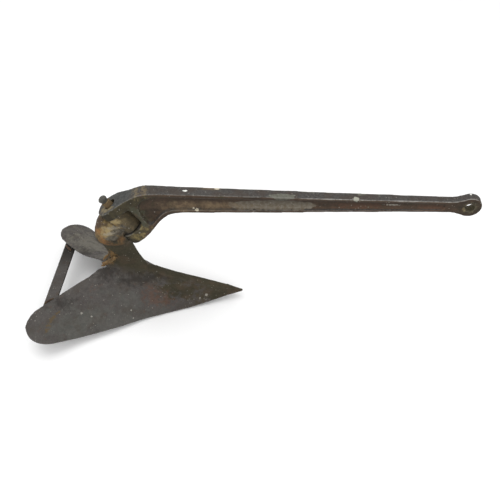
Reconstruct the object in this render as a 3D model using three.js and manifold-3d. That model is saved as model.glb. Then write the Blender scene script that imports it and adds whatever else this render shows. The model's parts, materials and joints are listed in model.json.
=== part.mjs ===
// Hinged plough anchor for a small boat, standing on its plough.
// Millimetres, +Z up. +X runs along the shank towards the shackle eye, Y is across the plough.
// Everything is drawn about the centre of the shackle eye; the anchor group then lifts the
// whole thing so that the origin is on the ground, under the middle of the anchor.

import * as THREE from 'three';
import * as BufferGeometryUtils from 'three/addons/utils/BufferGeometryUtils.js';
import Module from 'manifold-3d';

const wasm = await Module();
wasm.setup();

// ---------------------------------------------------------------- driving dimensions

const GAP = 0.3; // between pieces that touch
const EYE_TO_GROUND = 300.7;
const EYE_FROM_MIDDLE = 438.25;

const EYE_RADIUS = 22.5;
const EYE_BORE_RADIUS = 10;
const EYE_THICKNESS = 16.4;

const SHANK_LENGTH = 701.7; // eye centre to the pin at the top of the upper lug
const WEB_THICKNESS = 8;
const WEB_ROOT_THICKNESS = 20; // the web thickens into the head
const RECESS_REACH = 40; // sideways depth of the cutters that leave the web
const BORE_FLARE = 4; // the eye's worn mouth is this much wider than its bore
const BORE_FLARE_DEPTH = 2.5;

const PIN_TILT = THREE.MathUtils.degToRad(34); // hinge pin, leaning from the vertical
const LUG_DROP = 15.5; // upper lug face at the pin, below the eye centre
const LUG_RADIUS = 27.5;
const LUG_THICKNESS = 21.5;
const LOWER_LUG_THICKNESS = 26;
const JAW_GAP = 49.5;
const JAW_DEPTH = 39.5; // pin axis to the back of the jaw
const JAW_HEIGHT = LUG_THICKNESS + JAW_GAP + LOWER_LUG_THICKNESS;
const JAW_TOP_CORNER = 7; // radii of the slot's inner corners
const JAW_BOTTOM_CORNER = 14;

const PIN_RADIUS = 8.8;
const PIN_STUB = 9; // stands proud of the upper lug
const LUG_HOLE_RADIUS = 12.4;
const HOLE_WEAR = 3; // the upper hole is worn this far towards the shank
const LOWER_HOLE_RADIUS = 9.5;
const CAP_RADIUS = 9.1;
const CAP_HEIGHT = 13;
const PIN_HEAD_RADIUS = 15;
const PIN_HEAD_HEIGHT = 6;

const BARREL_RADIUS = 24.5;
const BARREL_TOP_PLAY = 0.6;
const BARREL_BOTTOM_PLAY = 2.6;
const LUG_CLEARANCE = 28.7; // hollow in the horn that the lug ends turn in

const PLATE_THICKNESS = 5;
const STEM_HALF_WIDTH = 4.6; // spine between the two plates
const CREST_HALF_WIDTH = 9.6;

const BRACE_WIDTH = 26;
const BRACE_THICKNESS = 6;
const BRACE_FORWARD = -862.8;
const BRACE_REACH = 150;
const BRACE_BEND = 60; // the bar is straight up to here
const BRACE_TOP = -240.5;

const HEEL_BEAD_RADIUS = 3.6;
const BRACE_BEAD_RADIUS = 2.8;

// ---------------------------------------------------------------- small helpers

const v3 = (x, y, z) => new THREE.Vector3(x, y, z);

function toSolid(geometry) {
  const bare = geometry.clone();
  bare.deleteAttribute('normal');
  bare.deleteAttribute('uv');
  const merged = BufferGeometryUtils.mergeVertices(bare, 1e-4);
  return new wasm.Manifold(new wasm.Mesh({
    numProp: 3,
    vertProperties: new Float32Array(merged.getAttribute('position').array),
    triVerts: new Uint32Array(merged.getIndex().array),
  }));
}

function toGeometry(solid) {
  const mesh = solid.getMesh();
  const geometry = new THREE.BufferGeometry();
  geometry.setAttribute('position', new THREE.BufferAttribute(mesh.vertProperties, 3));
  geometry.setIndex(new THREE.BufferAttribute(mesh.triVerts, 1));
  geometry.computeVertexNormals();
  return geometry;
}

// A closed skin through a row of rings; every ring has the same number of points.
function loft(rings) {
  const sides = rings[0].length;
  const geometry = new THREE.CylinderGeometry(1, 1, 1, sides, rings.length - 1);
  const position = geometry.getAttribute('position');
  const corner = new THREE.Vector3();
  for (let i = 0; i < position.count; i += 1) {
    corner.fromBufferAttribute(position, i);
    const ring = rings[Math.round((0.5 - corner.y) * (rings.length - 1))];
    const turn = Math.atan2(corner.x, corner.z) / (2 * Math.PI);
    const column = (Math.round(turn * sides) + sides) % sides;
    const onAxis = Math.hypot(corner.x, corner.z) < 0.5;
    const target = onAxis ? middleOf(ring) : ring[column];
    position.setXYZ(i, target.x, target.y, target.z);
  }
  return geometry;
}

function middleOf(ring) {
  const sum = new THREE.Vector3();
  ring.forEach((point) => sum.add(point));
  return sum.divideScalar(ring.length);
}

function turnInsideOut(geometry) {
  const index = geometry.getIndex();
  for (let i = 0; i < index.count; i += 3) {
    const first = index.getX(i);
    index.setX(i, index.getX(i + 2));
    index.setX(i + 2, first);
  }
  return geometry;
}

// Outline drawn in side view (x, z), given a thickness across the anchor.
function sideSlab(shape, halfWidth, middle = 0) {
  const slab = new THREE.ExtrudeGeometry(shape, {
    depth: 2 * halfWidth, bevelEnabled: false,
  });
  slab.translate(0, 0, -halfWidth);
  slab.rotateX(Math.PI / 2);
  slab.translate(0, middle, 0);
  return slab;
}

// Outline drawn in plan view (x, y), standing from one height to another.
function planSlab(shape, bottom, top) {
  const slab = new THREE.ExtrudeGeometry(shape, {
    depth: top - bottom, bevelEnabled: false,
  });
  slab.translate(0, 0, bottom);
  return slab;
}

// Points on a smooth curve through the given ones.
function smooth(points, perSpan = 3) {
  const curve = new THREE.SplineCurve(points.map(([x, y]) => new THREE.Vector2(x, y)));
  return curve.getPoints(perSpan * (points.length - 1));
}

// Points on an arc about a centre; angles in radians, the direction follows their order.
function arc(x, y, radius, start, end, steps) {
  const points = [];
  for (let i = 0; i <= steps; i += 1) {
    const angle = start + ((end - start) * i) / steps;
    points.push(new THREE.Vector2(x + radius * Math.cos(angle), y + radius * Math.sin(angle)));
  }
  return points;
}

// The hinge frame: its origin is where the pin leaves the upper lug, +Z runs up the pin
// and +X points forward into the head of the shank.
const hingeFrame = new THREE.Matrix4()
  .makeTranslation(-SHANK_LENGTH, 0, -LUG_DROP)
  .multiply(new THREE.Matrix4().makeRotationY(-PIN_TILT));

const inHinge = (geometry) => geometry.applyMatrix4(hingeFrame);

// A round bar on the pin axis, from one height to another in the hinge frame.
function pinCylinder(radius, bottom, top, sides = 40) {
  const bar = new THREE.CylinderGeometry(radius, radius, top - bottom, sides);
  bar.rotateX(Math.PI / 2);
  bar.translate(0, 0, (top + bottom) / 2);
  return inHinge(bar);
}

// ---------------------------------------------------------------- shank

// Side view of the forging: eye, underside, back of the jaw, top of the head and the bar.
function shankSideOutline() {
  return new THREE.Shape([
    ...arc(0, 0, EYE_RADIUS, 2.15, -2.15, 30),
    ...smooth([[-20, -16.4], [-27, -14], [-36, -13]]),
    ...smooth([[-130, -13.8], [-244, -16.4], [-359, -20], [-468, -22.3], [-540, -23]], 1),
    ...smooth([
      [-552, -23.2], [-566, -24.8], [-582, -30.5], [-598, -44.5], [-612, -62], [-624, -76],
      [-640, -90], [-655, -100], [-671, -110.6],
    ], 2),
    new THREE.Vector2(-760, -54),
    new THREE.Vector2(-722, -29.2),
    ...smooth([
      [-700, -LUG_DROP], [-690, -7.8], [-674, 1.8], [-656, 11.4], [-640, 19.6], [-622, 24.6],
      [-600, 25.2],
    ], 2),
    ...smooth([[-530, 23.4], [-398, 20.9], [-282, 18], [-168, 15.8], [-50, 13.7]], 1),
    ...smooth([[-36, 13.6], [-27, 14.3], [-20, 16.4]]),
  ]);
}

// Plan of the bar and the eye: half widths taper from the head to the eye.
function shankPlanOutline() {
  const half = EYE_THICKNESS / 2;
  return new THREE.Shape([
    [EYE_RADIUS + 1, -half], [EYE_RADIUS + 1, half], [-30, half], [-500, 11.9], [-580, 13],
    [-580, -13], [-500, -11.9], [-30, -half],
  ].map(([x, y]) => new THREE.Vector2(x, y)));
}

// Plan of the head, in the hinge frame: round lug ends that narrow towards the shank.
function headPlanOutline() {
  const flank = smooth([[150, 11], [122, 12.9], [62, 15.8], [36, 20.5], [15, 26]], 2);
  const mirrored = flank.map((point) => new THREE.Vector2(point.x, -point.y)).reverse();
  return new THREE.Shape([
    ...flank,
    ...arc(0, 0, LUG_RADIUS, 1.15, 2 * Math.PI - 1.15, 26),
    ...mirrored,
  ]);
}

// Side view of the slot between the lugs, in the hinge frame, open to the rear.
function jawOutline() {
  const roof = -LUG_THICKNESS;
  const floor = roof - JAW_GAP;
  const lean = 2; // the back of the slot runs in towards the floor
  const top = JAW_TOP_CORNER;
  const bottom = JAW_BOTTOM_CORNER;
  const open = -3 * LUG_RADIUS;
  return new THREE.Shape([
    new THREE.Vector2(open, roof),
    ...arc(JAW_DEPTH - top, roof - top, top, Math.PI / 2, 0, 4),
    ...arc(JAW_DEPTH - lean - bottom, floor + bottom, bottom, 0, -Math.PI / 2, 6),
    new THREE.Vector2(open, floor),
  ]);
}

// The hollow between the flanges; it ends in a round pocket in the head.
function recessOutline() {
  return new THREE.Shape([
    ...arc(-54, 0, 7.6, -1.2, 1.2, 6),
    ...smooth([[-130, 9.4], [-282, 11.6], [-398, 13.4], [-530, 15.2]], 1),
    ...smooth([
      [-600, 15.6], [-621, 12], [-633, 3], [-638, -11], [-635, -28], [-630, -42], [-623, -53],
      [-615, -53], [-606, -42], [-592, -26], [-574, -17], [-545, -16],
    ], 2),
    ...smooth([[-468, -15.8], [-282, -12.6], [-130, -9.4]], 1),
  ]);
}

// Plan of the web where it swells into the head.
function webRootOutline() {
  const thin = WEB_THICKNESS / 2 - 1;
  const thick = WEB_ROOT_THICKNESS / 2;
  return new THREE.Shape([
    [-520, thin], [-590, WEB_THICKNESS / 2 + 1.5], [-640, thick],
    [-640, -thick], [-590, -WEB_THICKNESS / 2 - 1.5], [-520, -thin],
  ].map(([x, y]) => new THREE.Vector2(x, y)));
}

function shankSolid() {
  const head = toSolid(inHinge(planSlab(headPlanOutline(), -JAW_HEIGHT, 45)));
  const bar = toSolid(planSlab(shankPlanOutline(), -60, 60));
  const side = toSolid(sideSlab(shankSideOutline(), 40));
  let shank = head.add(bar).intersect(side);

  [-1, 1].forEach((way) => {
    const middle = way * (WEB_THICKNESS + RECESS_REACH) / 2;
    const cutter = sideSlab(recessOutline(), RECESS_REACH / 2, middle);
    shank = shank.subtract(toSolid(cutter));
  });
  const webRoot = toSolid(planSlab(webRootOutline(), -60, 60));
  shank = shank.add(webRoot.intersect(side));
  shank = shank.subtract(toSolid(inHinge(sideSlab(jawOutline(), 2 * LUG_RADIUS))));

  const upperHole = new THREE.CylinderGeometry(LUG_HOLE_RADIUS, LUG_HOLE_RADIUS, 60, 40);
  upperHole.rotateX(Math.PI / 2);
  upperHole.translate(HOLE_WEAR, 0, 0);
  shank = shank.subtract(toSolid(inHinge(upperHole)));
  const lowerHole = pinCylinder(LOWER_HOLE_RADIUS, -JAW_HEIGHT - 40, -LUG_THICKNESS - JAW_GAP / 2);
  shank = shank.subtract(toSolid(lowerHole));

  const bore = new THREE.CylinderGeometry(EYE_BORE_RADIUS, EYE_BORE_RADIUS, 40, 36);
  shank = shank.subtract(toSolid(bore));
  [-1, 1].forEach((way) => {
    const mouth = new THREE.CylinderGeometry(
      EYE_BORE_RADIUS + BORE_FLARE, EYE_BORE_RADIUS - BORE_FLARE, 4 * BORE_FLARE_DEPTH, 36,
    );
    mouth.rotateX(way > 0 ? 0 : Math.PI);
    mouth.translate(0, way * (EYE_THICKNESS / 2), 0);
    shank = shank.subtract(toSolid(mouth));
  });
  return shank;
}

// ---------------------------------------------------------------- hinge pin and cap

function pinSolid() {
  const shaft = pinCylinder(PIN_RADIUS, -JAW_HEIGHT - GAP - PIN_HEAD_HEIGHT / 2, PIN_STUB, 32);
  const headTop = -JAW_HEIGHT - GAP;
  const head = pinCylinder(PIN_HEAD_RADIUS, headTop - PIN_HEAD_HEIGHT, headTop, 32);
  return toSolid(shaft).add(toSolid(head));
}

// Domed end of the pin: a short barrel with a rounded top.
function capGeometry() {
  const profile = [new THREE.Vector2(0, 0), new THREE.Vector2(CAP_RADIUS * 0.8, 0)];
  const rounds = 6;
  for (let i = 0; i <= rounds; i += 1) {
    const angle = -0.6 + (i / rounds) * (Math.PI / 2 + 0.6);
    profile.push(new THREE.Vector2(
      CAP_RADIUS * Math.cos(angle),
      CAP_HEIGHT * (0.5 + 0.5 * Math.sin(angle)),
    ));
  }
  profile[profile.length - 1].x = 0;
  const cap = new THREE.LatheGeometry(profile, 20);
  cap.rotateX(Math.PI / 2);
  cap.translate(0, 0, PIN_STUB + GAP);
  return inHinge(cap);
}

// ---------------------------------------------------------------- horn

// Sections of the knuckle and neck, from the top down: height, rear, front, half width.
const NECK_SECTIONS = [
  [-46, -722, -708, 10], [-50, -728.5, -700, 17], [-56, -733, -690, 23], [-64, -737, -680, 27.5],
  [-76, -741.5, -672, 30.5], [-90, -745, -667, 31.5], [-101, -745.5, -668, 30],
  [-109, -744, -671, 25.5], [-116, -741.5, -674, 19], [-124, -739, -674.5, 14.5],
  [-136, -736, -672, 12], [-152, -732, -668, 11], [-166, -731, -664, 10.6],
  [-176, -736.5, -660, 10.3], [-184, -745, -656.5, 10], [-191, -751.5, -651, 9.8],
  [-197.5, -755.5, -646, 9.6],
];

function ovalRing(z, rear, front, halfWidth, sides = 32) {
  const squareness = 0.82;
  const ring = [];
  for (let i = 0; i < sides; i += 1) {
    const angle = (2 * Math.PI * i) / sides;
    const c = Math.cos(angle);
    const s = Math.sin(angle);
    ring.push(v3(
      (rear + front) / 2 + ((front - rear) / 2) * Math.sign(c) * Math.abs(c) ** squareness,
      halfWidth * Math.sign(s) * Math.abs(s) ** squareness,
      z,
    ));
  }
  return ring;
}

// Top line of the plough, from the nose back to the heel under the neck: (x, z).
const RIDGE = new THREE.CatmullRomCurve3([
  v3(-443, 0, -277), v3(-470, 0, -269.6), v3(-515, 0, -255.2), v3(-559, 0, -239.8),
  v3(-603, 0, -223.2), v3(-626, 0, -213), v3(-645, 0, -202.8), v3(-665, 0, -197.2),
  v3(-715, 0, -195), v3(-748, 0, -195),
], false, 'centripetal');

const NOSE_BACK = 0.118; // share of the ridge that is solid nose
const CREST_DEPTH = 4;

function spineRing(t) {
  const top = RIDGE.getPointAt(t);
  const crest = CREST_HALF_WIDTH * THREE.MathUtils.smoothstep(t, -0.25, 0.28);
  const stem = STEM_HALF_WIDTH * THREE.MathUtils.smoothstep(t, -0.25, 0.2);
  const stemDepth = THREE.MathUtils.mapLinear(t, NOSE_BACK, 0.5, 15, 30);
  const depth = Math.min(stemDepth, 30);
  return [
    [0, 0], [crest * 0.5, -0.6], [crest, -2.6], [crest, -CREST_DEPTH],
    [stem, -CREST_DEPTH - 0.4], [stem, -depth], [-stem, -depth], [-stem, -CREST_DEPTH - 0.4],
    [-crest, -CREST_DEPTH], [-crest, -2.6], [-crest * 0.5, -0.6],
  ].map(([y, down]) => v3(top.x, y, top.z + down));
}

// The solid point in front of the plates: the ridge on top, the plates' lower edge below.
function noseRing(t) {
  const top = RIDGE.getPointAt(t * NOSE_BACK);
  const halfWidth = 2 + 11.6 * t;
  const crest = 1 + 6 * t;
  const bottom = -282 - 5 * t;
  const shoulder = THREE.MathUtils.lerp(top.z, bottom, 0.3);
  return [
    [0, top.z], [crest, top.z - 0.6], [Math.max(crest, halfWidth * 0.55), shoulder],
    [halfWidth, bottom + 2], [halfWidth * 0.8, bottom],
    [-halfWidth * 0.8, bottom], [-halfWidth, bottom + 2],
    [-Math.max(crest, halfWidth * 0.55), shoulder], [-crest, top.z - 0.6],
  ].map(([y, z]) => v3(top.x, y, z));
}

function hornSolid() {
  const neck = loft(NECK_SECTIONS.map((row) => ovalRing(...row)));
  const barrelTop = -LUG_THICKNESS - BARREL_TOP_PLAY;
  const barrelBottom = -LUG_THICKNESS - JAW_GAP + BARREL_BOTTOM_PLAY;
  let horn = toSolid(neck).add(toSolid(pinCylinder(BARREL_RADIUS, barrelBottom, barrelTop, 48)));

  const upperRoom = pinCylinder(LUG_CLEARANCE, barrelTop, 30, 48);
  const lowerRoom = pinCylinder(LUG_CLEARANCE, -JAW_HEIGHT - 9, barrelBottom, 48);
  horn = horn.subtract(toSolid(upperRoom)).subtract(toSolid(lowerRoom));

  const spineSteps = 18;
  const spine = [];
  for (let i = 0; i <= spineSteps; i += 1) {
    spine.push(spineRing(THREE.MathUtils.lerp(0.985, NOSE_BACK - 0.01, i / spineSteps)));
  }
  const nose = [1, 0.75, 0.5, 0.25, 0].map(noseRing);
  horn = horn.add(toSolid(loft(spine))).add(toSolid(loft(nose)));
  [-1, 1].forEach((side) => {
    horn = horn.subtract(toSolid(plateGeometry(side, GAP)));
  });
  return horn.subtract(toSolid(pinCylinder(PIN_RADIUS + GAP, -150, 20, 32)));
}

// ---------------------------------------------------------------- plough plates

const curveThrough = (points) => new THREE.CatmullRomCurve3(
  points.map(([x, y, z]) => v3(x, y, z)), false, 'centripetal',
);

// Four edges of the outer face of a plate: along the ridge, along the bottom and up the
// round lobe, across the back, and the short edge behind the nose.
const INNER_EDGE = curveThrough([
  [-480, 7.5, -270.8], [-515, 9, -259.2], [-559, 9.6, -244], [-603, 9.6, -227.4],
  [-626, 9.6, -217.2], [-645, 9.6, -207.2], [-665, 9.6, -201.4], [-715, 9.6, -199.3],
  [-747, 9.6, -199.5],
]);
const OUTER_EDGE = curveThrough([
  [-480, 13, -286.6], [-520, 28, -290.5], [-556, 40, -295], [-592, 52, -296.5], [-627, 65, -295.5],
  [-660, 79, -293.5], [-693, 96, -290.5], [-725, 113, -287], [-757, 128, -283.5],
  [-788, 143, -279.5], [-817, 158, -272.5], [-831, 167, -267], [-845, 173.5, -262],
  [-860, 176, -257], [-874, 173.7, -252.5], [-884, 168, -249], [-892, 159, -246],
  [-899, 146, -243],
]);
const REAR_EDGE = curveThrough([
  [-747, 9.6, -199.5], [-759, 13, -201], [-773, 24, -207.8], [-791, 34, -214.8],
  [-808, 43.5, -220.6], [-832, 60.5, -227], [-853, 78, -231], [-873, 96, -234],
  [-885, 107, -235.2], [-893, 120, -236.6], [-897.5, 132, -239], [-899, 146, -243],
]);
const HOLLOW = 7; // depth of the dish between ridge and bottom edge
const PLATE_COLUMNS = 52;
const PLATE_ROWS = 16;

function plateFace(u, v) {
  const point = INNER_EDGE.getPointAt(u).lerp(OUTER_EDGE.getPointAt(u), v);
  const straightRear = REAR_EDGE.getPointAt(0).lerp(REAR_EDGE.getPointAt(1), v);
  point.add(REAR_EDGE.getPointAt(v).sub(straightRear).multiplyScalar(u));
  const dish = HOLLOW * Math.sin(Math.PI * v) * Math.sin(Math.PI * u) ** 0.7;
  return point.add(v3(0, -0.45 * dish, -0.9 * dish));
}

function plateNormal(u, v) {
  const step = 0.004;
  const u0 = THREE.MathUtils.clamp(u, step, 1 - step);
  const v0 = THREE.MathUtils.clamp(v, step, 1 - step);
  const along = plateFace(u0 + step, v0).sub(plateFace(u0 - step, v0));
  const across = plateFace(u0, v0 + step).sub(plateFace(u0, v0 - step));
  return across.cross(along).normalize();
}

// Thinner towards the nose, where the two plates close up, and along the rear edge.
function plateThickness(u) {
  const atNose = THREE.MathUtils.lerp(0.62, 1, THREE.MathUtils.smoothstep(u, 0, 0.3));
  const atRear = THREE.MathUtils.lerp(1, 0.64, THREE.MathUtils.smoothstep(u, 0.86, 1));
  return PLATE_THICKNESS * atNose * atRear;
}

// One plate; side is 1 for left (+Y) and -1 for right. A margin makes it larger all round.
function plateGeometry(side, margin = 0) {
  const geometry = new THREE.BoxGeometry(1, 1, 1, PLATE_COLUMNS, PLATE_ROWS, 1);
  const position = geometry.getAttribute('position');
  for (let i = 0; i < position.count; i += 1) {
    const u = position.getX(i) + 0.5;
    const v = position.getY(i) + 0.5;
    const normal = plateNormal(u, v);
    const point = plateFace(u, v);
    if (position.getZ(i) < 0) point.addScaledVector(normal, -plateThickness(u) - margin);
    else point.addScaledVector(normal, margin);
    if (u === 0) point.x += margin;
    if (v === 0) point.z += margin;
    position.setXYZ(i, point.x, side * point.y, point.z);
  }
  return side < 0 ? geometry : turnInsideOut(geometry);
}

// The plate's outer face at a place in plan, found by Newton's method from the lobe.
function plateFaceAt(x, y) {
  let u = 0.95;
  let v = 0.7;
  const step = 1e-3;
  for (let pass = 0; pass < 12; pass += 1) {
    const here = plateFace(u, v);
    const du = plateFace(u + step, v).sub(here).divideScalar(step);
    const dv = plateFace(u, v + step).sub(here).divideScalar(step);
    const turn = du.x * dv.y - dv.x * du.y;
    u += ((x - here.x) * dv.y - dv.x * (y - here.y)) / turn;
    v += (du.x * (y - here.y) - (x - here.x) * du.y) / turn;
    u = THREE.MathUtils.clamp(u, 0.3, 1 - step);
    v = THREE.MathUtils.clamp(v, 0.01, 1 - step);
  }
  return { point: plateFace(u, v), normal: plateNormal(u, v), thickness: plateThickness(u) };
}

// ---------------------------------------------------------------- brace bar

// Flat bar between the lobes; its ends lie against the undersides of the plates.
function braceGeometry() {
  const geometry = new THREE.BoxGeometry(1, 2, 1, 2, 40, 1);
  const position = geometry.getAttribute('position');
  for (let i = 0; i < position.count; i += 1) {
    const x = BRACE_FORWARD + position.getX(i) * BRACE_WIDTH;
    const y = position.getY(i) * BRACE_REACH;
    let top = BRACE_TOP;
    if (Math.abs(y) > BRACE_BEND) {
      const { point, normal, thickness } = plateFaceAt(x, Math.abs(y));
      top = Math.min(top, point.z - (thickness + 2 * GAP) / normal.z);
    }
    position.setXYZ(i, x, y, top + (position.getZ(i) - 0.5) * BRACE_THICKNESS);
  }
  return geometry;
}

// ---------------------------------------------------------------- weld beads

// A round bead along a line, a little lumpy, with tapered ends.
function bead(points, radius, lumps) {
  const path = new THREE.CatmullRomCurve3(points, false, 'centripetal');
  const steps = 14;
  const sides = 12;
  const rings = [];
  for (let i = 0; i <= steps; i += 1) {
    const t = i / steps;
    const middle = path.getPointAt(t);
    const forward = path.getTangentAt(t);
    const across = v3(0, 0, 1).cross(forward).normalize();
    const up = forward.clone().cross(across);
    const swell = 1 + 0.14 * Math.sin(2 * Math.PI * lumps * t);
    const size = radius * swell * (0.25 + 0.75 * Math.sin(Math.PI * (0.06 + 0.88 * t)) ** 0.5);
    const ring = [];
    for (let k = 0; k < sides; k += 1) {
      const angle = (-2 * Math.PI * k) / sides;
      ring.push(middle.clone()
        .addScaledVector(across, size * Math.cos(angle))
        .addScaledVector(up, size * Math.sin(angle)));
    }
    rings.push(ring);
  }
  return loft(rings);
}

// Bead down the rear corner of the neck and onto the plate's heel.
function heelWeldGeometry(side) {
  const line = [
    [-713, 14.8, -157], [-723, 14.2, -168], [-733, 12.4, -177], [-744, 11, -185.5],
    [-753, 11.4, -192], [-758, 13, -197.2],
  ];
  return bead(line.map(([x, y, z]) => v3(x, side * y, z)), HEEL_BEAD_RADIUS, 3);
}

// Bead on top of the brace, along the plate's rear edge.
function braceWeldGeometry(side) {
  const height = BRACE_TOP + 2 * GAP + BRACE_BEAD_RADIUS;
  const line = [[-872, 86.6], [-864, 79.2], [-855, 71.3]];
  return bead(line.map(([x, y]) => v3(x, side * y, height)), BRACE_BEAD_RADIUS, 2);
}

// ---------------------------------------------------------------- assembly

const anchor = new THREE.Group();
anchor.position.set(EYE_FROM_MIDDLE, 0, EYE_TO_GROUND);

function addPiece(name, geometry, color, roughness, metalness) {
  const mesh = new THREE.Mesh(geometry, new THREE.MeshStandardMaterial({ color, roughness, metalness }));
  mesh.name = name;
  anchor.add(mesh);
}

addPiece('shank', toGeometry(shankSolid()), 0x554c42, 0.75, 0.4);
addPiece('hinge_pin', toGeometry(pinSolid()), 0x7a5638, 0.8, 0.4);
addPiece('pin_cap', capGeometry(), 0x6f716d, 0.6, 0.6);
addPiece('horn', toGeometry(hornSolid()), 0x544a3e, 0.8, 0.4);
addPiece('plate_left', plateGeometry(1), 0x564f4c, 0.85, 0.3);
addPiece('plate_right', plateGeometry(-1), 0x564f4c, 0.85, 0.3);
addPiece('brace', braceGeometry(), 0x4d443d, 0.85, 0.3);
addPiece('heel_weld_left', heelWeldGeometry(1), 0x7d5230, 0.9, 0.2);
addPiece('heel_weld_right', heelWeldGeometry(-1), 0x7d5230, 0.9, 0.2);
addPiece('brace_weld_left', braceWeldGeometry(1), 0x5c4636, 0.9, 0.2);
addPiece('brace_weld_right', braceWeldGeometry(-1), 0x5c4636, 0.9, 0.2);

export default anchor;
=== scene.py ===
"""Looks of a rusty hinged plough anchor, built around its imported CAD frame.

Every CAD piece is rebuilt as a dense mesh with soft forged edges, dents and pits, and gets a
procedural finish: brown oxide, orange rust scale, olive patina, salt specks and old paint.
Lengths are in metres, in the frame's own axes: +X towards the shackle eye, +Z up.
"""

import json
import math

import bmesh
import bpy
import numpy as np
from mathutils import Matrix, Vector


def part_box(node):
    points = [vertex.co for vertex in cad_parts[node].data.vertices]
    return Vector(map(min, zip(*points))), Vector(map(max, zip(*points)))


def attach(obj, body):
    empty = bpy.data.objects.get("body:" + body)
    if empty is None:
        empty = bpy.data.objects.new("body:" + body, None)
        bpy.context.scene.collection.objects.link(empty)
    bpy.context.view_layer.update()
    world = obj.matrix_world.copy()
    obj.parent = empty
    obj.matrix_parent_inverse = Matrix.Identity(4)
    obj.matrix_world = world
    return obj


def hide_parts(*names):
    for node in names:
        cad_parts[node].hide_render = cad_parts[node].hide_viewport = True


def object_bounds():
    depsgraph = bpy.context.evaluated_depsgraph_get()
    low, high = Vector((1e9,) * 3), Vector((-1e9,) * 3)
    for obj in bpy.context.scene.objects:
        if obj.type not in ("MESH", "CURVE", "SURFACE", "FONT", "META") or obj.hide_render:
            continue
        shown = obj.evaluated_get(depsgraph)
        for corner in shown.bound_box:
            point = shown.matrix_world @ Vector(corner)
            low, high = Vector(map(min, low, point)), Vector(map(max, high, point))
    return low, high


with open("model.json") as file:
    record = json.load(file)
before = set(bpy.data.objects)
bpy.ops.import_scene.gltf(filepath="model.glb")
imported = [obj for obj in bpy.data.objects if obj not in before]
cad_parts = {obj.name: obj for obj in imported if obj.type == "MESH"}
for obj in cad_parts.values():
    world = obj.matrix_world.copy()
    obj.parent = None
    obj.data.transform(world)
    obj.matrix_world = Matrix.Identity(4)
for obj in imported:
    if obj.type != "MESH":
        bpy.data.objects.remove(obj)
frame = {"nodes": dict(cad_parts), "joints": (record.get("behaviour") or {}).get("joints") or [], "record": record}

MM = 0.001
cad_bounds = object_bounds()

# ------------------------------------------------------------------ places read from the frame

SHANK = "shank_body"
PLOUGH = "plough_body"

hinge = frame["joints"][0]
HINGE_MIDDLE = Vector(hinge["pos_m"])
PIN_UP = Vector(hinge["axis"]).normalized()
HINGE_FORWARD = Vector((0, 1, 0)).cross(PIN_UP)

EYE_RADIUS = 22.5 * MM
mounts = {mount["name"]: mount for mount in frame["record"]["mounts"]}
EYE = Vector((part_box("shank")[1].x - EYE_RADIUS, 0, mounts["eye_face_left"]["pos_m"][2]))


def at_hinge(forward, side, up):
    """A point given in millimetres from the middle of the jaw, along the hinge's own axes."""
    return HINGE_MIDDLE + MM * (HINGE_FORWARD * forward + Vector((0, side, 0)) + PIN_UP * up)


def behind_eye(back, side, height):
    """A point given in millimetres from the shackle eye, back along the shank."""
    return EYE + MM * Vector((-back, side, height))


# ------------------------------------------------------------------ mesh work

# One round of smoothing relaxes the surface by RELAX, then swells it back by SWELL.
RELAX = 0.60
SWELL = 0.62

# Spacing of the rebuilt surface, finer on smaller pieces.
FORGING_VOXEL = 1.3 * MM
PIN_VOXEL = 0.8 * MM
WELD_VOXEL = 0.7 * MM
CAP_VOXEL = 0.6 * MM

SAME_CORNER = 0.001 * MM  # corners this close are merged

# Widths of the features in the surface relief.
DENT_WIDTH = 22 * MM
PIT_WIDTH = 4.5 * MM


def cloud(name, size, depth):
    """A cloud texture for displacement; size is the width of its features."""
    texture = bpy.data.textures.new(name, "CLOUDS")
    texture.noise_scale = size
    texture.noise_depth = depth
    return texture


def apply_modifiers(obj):
    graph = bpy.context.evaluated_depsgraph_get()
    mesh = bpy.data.meshes.new_from_object(obj.evaluated_get(graph))
    obj.modifiers.clear()
    obj.data = mesh
    for face in mesh.polygons:
        face.use_smooth = True


def new_object(name, fill):
    """An object whose mesh is made by fill, which is given an empty bmesh."""
    mesh = bpy.data.meshes.new(name)
    work = bmesh.new()
    fill(work)
    work.to_mesh(mesh)
    work.free()
    obj = bpy.data.objects.new(name, mesh)
    bpy.context.scene.collection.objects.link(obj)
    return obj


def copy_nodes(nodes, name):
    """A loose copy of one or more CAD nodes, with each one's shared corners merged."""

    def fill(work):
        for node in nodes:
            work.from_mesh(frame["nodes"][node].data)
        bmesh.ops.remove_doubles(work, verts=work.verts, dist=SAME_CORNER)

    return new_object(name, fill)


def get_points(mesh, what="co"):
    """Vertex places, or normals when what is "normal", one row each."""
    values = np.zeros(len(mesh.vertices) * 3, np.float32)
    mesh.vertices.foreach_get(what, values)
    return values.reshape(-1, 3).astype(float)


def move_points(obj, change):
    """Passes all vertex places and normals to change, which returns the new places."""
    moved = change(get_points(obj.data), get_points(obj.data, "normal"))
    obj.data.vertices.foreach_set("co", moved.astype(np.float32).ravel())
    obj.data.update()


def swell(obj, amount):
    move_points(obj, lambda places, normals: places + amount * normals)


def remesh(obj, voxel):
    step = obj.modifiers.new("remesh", "REMESH")
    step.mode = "VOXEL"
    step.voxel_size = voxel
    apply_modifiers(obj)


def neighbour_mean(obj):
    """A function that averages each vertex's neighbours."""
    ends = np.zeros(len(obj.data.edges) * 2, np.int32)
    obj.data.edges.foreach_get("vertices", ends)
    here, there = ends.reshape(-1, 2).T
    count = len(obj.data.vertices)
    neighbours = np.bincount(here, minlength=count) + np.bincount(there, minlength=count)

    def average(places):
        total = np.empty_like(places)
        for axis in range(3):
            value = places[:, axis]
            total[:, axis] = np.bincount(here, value[there], count)
            total[:, axis] += np.bincount(there, value[here], count)
        return total / neighbours[:, None]

    return average


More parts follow.
